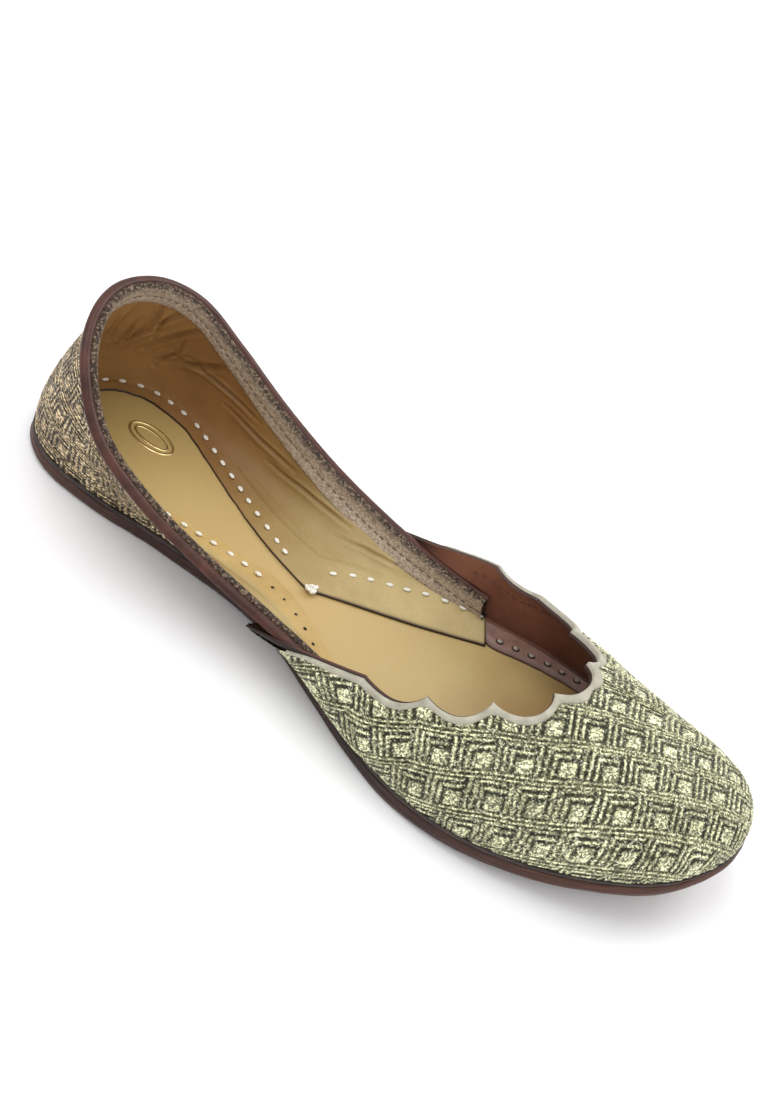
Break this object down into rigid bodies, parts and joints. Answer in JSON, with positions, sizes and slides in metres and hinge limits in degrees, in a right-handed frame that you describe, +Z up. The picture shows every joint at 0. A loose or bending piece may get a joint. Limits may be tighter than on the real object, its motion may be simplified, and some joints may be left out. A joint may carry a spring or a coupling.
{
  "type": "mojari shoe",
  "caption": "Right women's mojari slip-on: low hollow upper with a scalloped throat, rolled collar binding, insole and flat leather sole with a turned-up blunt toe.",
  "frame": {"origin": "on the floor under the middle of the bounding box", "axes": "+X towards the toe, +Y towards the inner side of the foot, +Z up"},
  "size_m": [0.245, 0.0776, 0.0573],
  "materials": {
    "sole_leather": "satin",
    "rand_leather": "satin",
    "insole_leather": "satin",
    "brocade": "metallic woven",
    "heel_brocade": "metallic woven",
    "heel_lining": "satin",
    "vamp_lining": "satin",
    "binding_leather": "satin",
    "tape": "matt",
    "thread": "matt",
    "foil": "foil"
  },
  "bodies": {
    "root": {"outsole": "sole_leather", "rand": "rand_leather", "insole": "insole_leather", "upper": "brocade", "collar_binding": "binding_leather"}
  },
  "joints": []
}
